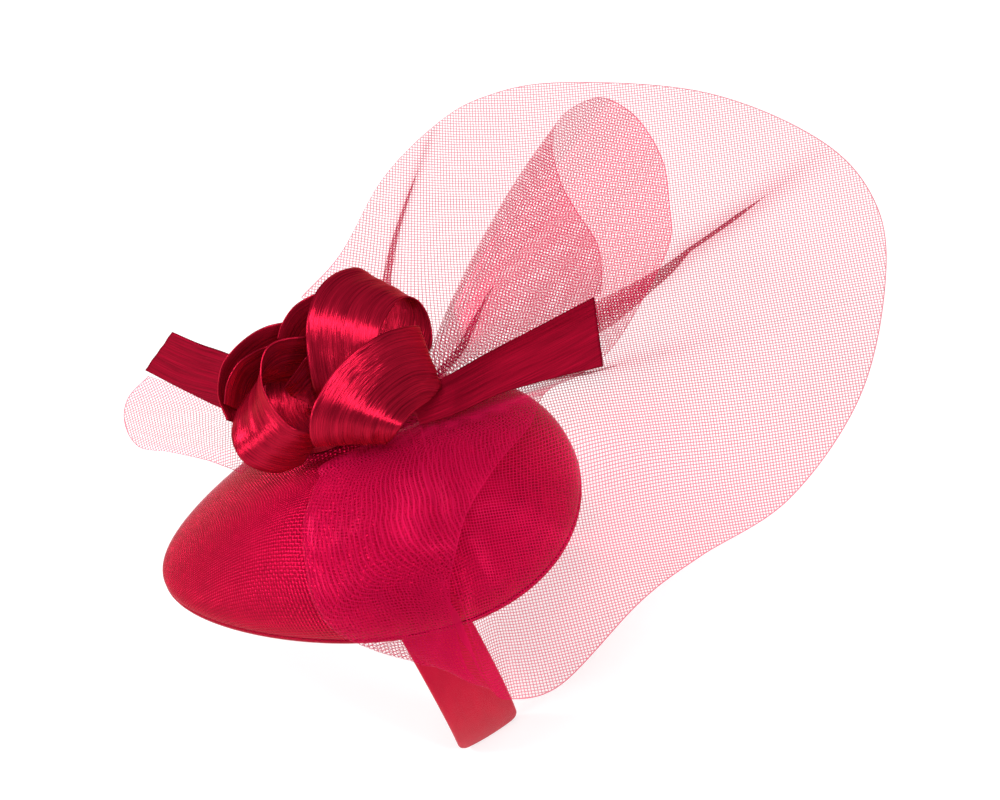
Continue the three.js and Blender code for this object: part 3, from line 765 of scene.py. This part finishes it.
# The rows of a pleat's three layers: which layer, and the share of its half width from
# its middle.
PLEAT_ROWS = [(0, 1), (1, 1), (1, -1), (2, -1)]
WIDEST_PLEAT = 0.9  # half width, in rows
NO_PLEAT = 0.05
GATHER_REACH = 5  # how far to each side of a pleat the threads lie closer


class Pleat:
    """A pleat's middle, half width and closeness in each column of a sheet, and the rows
    between which it moves the sheet's own rows."""

    def __init__(self, points, reach, plain, along, across):
        self.reach = reach
        shares, middles, halves, closeness = np.array(points, float).T
        self.middle = np.interp(across, shares, middles)
        self.closeness = np.interp(across, shares, closeness)
        local = along.searchsorted(self.middle.mean())
        pace = np.linalg.norm(plain[local + 1] - plain[local - 1], axis=1).clip(LEAST_STEP)
        self.rows_per_mm = (along[local + 1] - along[local - 1]) / pace
        halves = np.interp(across, shares, halves)
        self.lift = PLEAT_LIFT / 2 * np.minimum(halves, 1)
        self.half = np.minimum((halves + NO_PLEAT) * self.rows_per_mm, WIDEST_PLEAT)

    def fold(self, row_at, lift, back):
        """The rows of the sheet, their lift and how far back they run, with this pleat's
        rows between them."""
        rows = [self.middle + side * self.half for _, side in PLEAT_ROWS]
        lifts = [layer * self.lift for layer, _ in PLEAT_ROWS]
        turned = [(layer == 1) * 2 * side * self.half for layer, side in PLEAT_ROWS]
        start, place, end = self.reach
        before = row_at[:, 0] < place
        share = ((row_at[before] - start) / (place - start)).clip(0)
        first = row_at[before] + share * (self.middle + self.half - place)
        share = ((end - row_at[~before]) / (end - place)).clip(0)
        last = row_at[~before] + share * (self.middle - self.half - place)
        return (
            np.concatenate([first, rows, last]),
            np.concatenate([lift[before], lifts, lift[~before]]),
            np.concatenate([back[before], turned, back[~before]]),
        )

    def gathered(self, row_at):
        """How much closer the threads lie at places on the sheet."""
        reach = self.rows_per_mm * GATHER_REACH
        return self.closeness * np.exp(-(((row_at - self.middle) / reach) ** 2))


def fold_pleats(pleats, plain, along, across):
    """The pleats of a sheet, each with the rows half way to its neighbours."""
    places = [np.mean([row for _, row, _, _ in points]) for points in pleats]
    ends = [along[0], *((a + b) / 2 for a, b in zip(places, places[1:])), along[-1]]
    return [
        Pleat(points, (ends[k], places[k], ends[k + 1]), plain, along, across)
        for k, points in enumerate(pleats)
    ]


def at_rows(values, along, row_at):
    """Values given on plain rows, read off at other rows in each column."""
    columns = [np.interp(rows, along, column) for rows, column in zip(row_at.T, values.T)]
    return np.stack(columns, 1)


def unrolled(grid):
    """The flat coordinates of a fan whose rows spread from its gathered edge."""
    out = running_length(grid, 1)
    pace = steps_between(grid, 0)
    across = np.sqrt((pace**2 - np.diff(out, axis=0) ** 2).clip(0))
    outer = slice(out.shape[1] // 2, None)
    reach = (out[1:] + out[:-1])[:, outer] / 2
    turn = (across[:, outer] / reach).mean(1)
    angle = np.concatenate([[0], np.cumsum(turn)])[:, None]
    return np.stack([out * np.sin(angle), out * np.cos(angle)], -1)


def drawn_up(plain, flat):
    """How close the gathers draw the threads together, row by row."""
    squeeze = steps_between(plain, 0) / steps_between(flat, 0).clip(LEAST_STEP)
    squeeze = squeeze.clip(*SQUEEZE_LIMITS)
    return np.concatenate([squeeze[:1], (squeeze[1:] + squeeze[:-1]) / 2, squeeze[-1:]])


def crin_piece(name, rows, per_row, columns, material, pleats=()):
    """One sheet of crinoline through its rows, with its pleats folded in. Each point keeps
    how far the mesh gives there and how far it lies from the free edge, for the threads."""
    along = np.linspace(0, len(rows) - 1, (len(rows) - 1) * per_row + 1)
    across = np.linspace(0, 1, columns)
    plain = surface(rows, along, across)
    flat = unrolled(plain)
    squeeze = drawn_up(plain, flat)
    row_at = np.repeat(along[:, None], columns, 1)
    lift = np.zeros_like(row_at)
    back = np.zeros_like(row_at)
    pleats = fold_pleats(pleats, plain, along, across)
    for pleat in pleats:
        row_at, lift, back = pleat.fold(row_at, lift, back)
    rails = smooth(np.asarray(rows, float).transpose(1, 0, 2), across * (len(rows[0]) - 1))
    grid = np.stack([smooth(rail, where) for rail, where in zip(rails, row_at.T)], 1)
    grid = grid + lift[..., None] * LIFT_WAY
    flat = np.stack([at_rows(axis, along, row_at - back) for axis in flat.transpose(2, 0, 1)], -1)
    ease = np.sqrt(2 / (1 + 1 / at_rows(squeeze, along, row_at) ** 2))
    for pleat in pleats:
        ease = ease * (1 - pleat.gathered(row_at))
    creased = np.abs(np.diff(lift, axis=0)).max(1) > 0
    out = running_length(grid, 1)
    values = {"ease": ease.clip(*EASE_LIMITS), "from_edge": out[:, -1:] - out}
    piece = grid_piece(name, grid, flat, material, values=values, creased=creased)
    return piece


# ------------------------------------------------------------------ the pieces


def build_base():
    straw = straw_material()
    satin = satin_material("lining_satin")
    show(dome_piece("straw_dome", 0, straw), "red_straw", "base_straw_cover")
    edge = hoop_piece("straw_edge", straw, EDGE_CENTRE, EDGE_ROLL_RADIUS)
    show(edge, "red_straw", "rolled_straw_edge")
    show(dome_piece("satin_lining", LINING_INSET, satin), "red_satin", "base_lining")
    ribbon_from = 1 - PETERSHAM_WIDE / (2 * BASE_HALF_WIDTH)
    ribbon = dome_piece("petersham", PETERSHAM_INSET, satin, ribbon_from)
    show(ribbon, "red_satin", "petersham_ribbon")


def build_band():
    satin = satin_material()
    section = round_section(BAND_WIDE, BAND_COVER_LOW, BAND_THICK)
    show(band_piece("satin_band", section, satin), "red_satin", "headband_satin_cover")
    half = LINING_WIDE / 2
    bend = half - LINING_BEVEL
    outline = [(-half, LINING_EDGE_OUT), (-bend, LINING_BEND_OUT), (0, 0)]
    outline += [(bend, LINING_BEND_OUT), (half, LINING_EDGE_OUT)]
    show(band_piece("band_lining", np.array(outline), satin), "red_satin", "headband_lining")


def build_trimmings():
    abaca = abaca_material("crimson_abaca", 0.6, 0.28, RED_ABACA)
    # The tails get a rougher, less glossy abaca whose darker colour is painted shade.
    matt_shaded_abaca = abaca_material("matt_shaded_abaca", 0.15, 0.55, SHADED_ABACA)
    for seed, (name, edges) in enumerate(ROSE_LOOPS.items()):
        placed = ROSE_CENTRE + np.array(edges, float) @ rose_axes
        piece = ribbon_piece("abaca_" + name, placed, abaca, seed)
        show(piece, "crimson_abaca", name)
    for seed, (name, edges) in enumerate(TAILS.items(), len(ROSE_LOOPS)):
        piece = ribbon_piece("abaca_" + name, edges, matt_shaded_abaca, seed)
        show(piece, "crimson_abaca", name)
    crin = crin_material()
    strip = crin_piece("crin_strip", STRIP_ROWS, 14, 64, crin, PLEATS)
    show(strip, "pink_crinoline", "crin_long_strip")
    loop = crin_piece("crin_loop", LEFT_LOOP_ROWS, 14, 40, crin)
    show(loop, "pink_crinoline", "crin_left_loop")


def dress_hidden_nodes():
    """Materials for the CAD pieces that stay as they are."""
    steel = Shader("steel_wire", (0.5, 0.5, 0.52), 0.35)
    steel.set("Metallic", 1.0)
    plastic = Shader("clear_plastic", (0.03, 0.03, 0.035), 0.3)
    looks = {
        "base_buckram_shell": cloth_material("buckram", BUCKRAM_WHITE, 0.9, 0.9),
        "rim_wire": steel.material,
        "headband_spring": plastic.material,
        "band_tack_left": cloth_material("red_thread", DARK_THREAD, 0.6, 0.35),
    }
    looks["band_tack_right"] = looks["band_tack_left"]
    looks["rose_foot"] = cloth_material("dyed_buckram", RED_ABACA, 0.7, 0.9)
    for name, material in looks.items():
        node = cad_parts[name]
        node.data.materials.clear()
        node.data.materials.append(material)


# ------------------------------------------------------------------ stage, light and camera


def build_stage():
    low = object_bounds()[0][2]
    size = FLOOR_HALF_SIDE
    mesh = bpy.data.meshes.new("floor")
    corners = [(-size, -size, low), (size, -size, low), (size, size, low), (-size, size, low)]
    mesh.from_pydata(corners, [], [(0, 1, 2, 3)])
    paper = Shader("white_paper", (0.5, 0.5, 0.5), 0.9)
    paper.set("Emission Color", (1, 1, 1, 1))
    paper.set("Emission Strength", 0.6)
    mesh.materials.append(paper.material)
    floor = bpy.data.objects.new("floor", mesh)
    bpy.context.scene.collection.objects.link(floor)


def soft_light(name, towards, sides, power):
    """A soft box that shines on the piece from a direction."""
    lamp = bpy.data.lights.new(name, "AREA")
    lamp.shape = "RECTANGLE"
    lamp.size, lamp.size_y = sides
    lamp.energy = power
    holder = bpy.data.objects.new(name, lamp)
    direction = Vector(towards).normalized()
    holder.location = Vector(CAMERA_TARGET * MM) + direction * LIGHT_DISTANCE
    holder.rotation_euler = direction.to_track_quat("Z", "Y").to_euler()
    bpy.context.scene.collection.objects.link(holder)


def build_light():
    world = bpy.data.worlds.new("studio")
    world.use_nodes = True
    world.node_tree.nodes["Background"].inputs[0].default_value = (1, 1, 1, 1)
    world.node_tree.nodes["Background"].inputs[1].default_value = 0.12
    bpy.context.scene.world = world
    soft_light("overhead", (0.15, 0.08, 1), (0.3, 0.8), 10)
    soft_light("front_left", (-0.36, -0.66, 0.62), (0.5, 0.16), 9)
    soft_light("right_side", (0.7, 0.38, 0.62), (0.25, 0.25), 5)
    soft_light("front_side", (0.21, -0.93, 0.32), (0.3, 0.3), 4)


def build_camera():
    a, e, r = CAMERA_AZIMUTH, CAMERA_ELEVATION, CAMERA_ROLL
    back = np.array([sin(a) * cos(e), -cos(a) * cos(e), sin(e)])
    level = np.array([cos(a), sin(a), 0])
    upright = np.array([-sin(a) * sin(e), cos(a) * sin(e), cos(e)])
    right = level * cos(r) - upright * sin(r)
    up = level * sin(r) + upright * cos(r)
    place = (CAMERA_TARGET + CAMERA_DISTANCE * back) * MM
    camera = bpy.data.objects.new("camera", bpy.data.cameras.new("camera"))
    camera.data.lens = CAMERA_LENS
    axes = np.stack([right, up, back, place], 1)
    camera.matrix_world = Matrix([*axes.tolist(), [0, 0, 0, 1]])
    bpy.context.scene.collection.objects.link(camera)
    bpy.context.scene.camera = camera


build_camera()
build_light()
build_base()
build_band()
build_trimmings()
dress_hidden_nodes()
build_stage()
bpy.context.scene.view_settings.view_transform = "Standard"
bpy.context.scene.cycles.transparent_max_bounces = 40
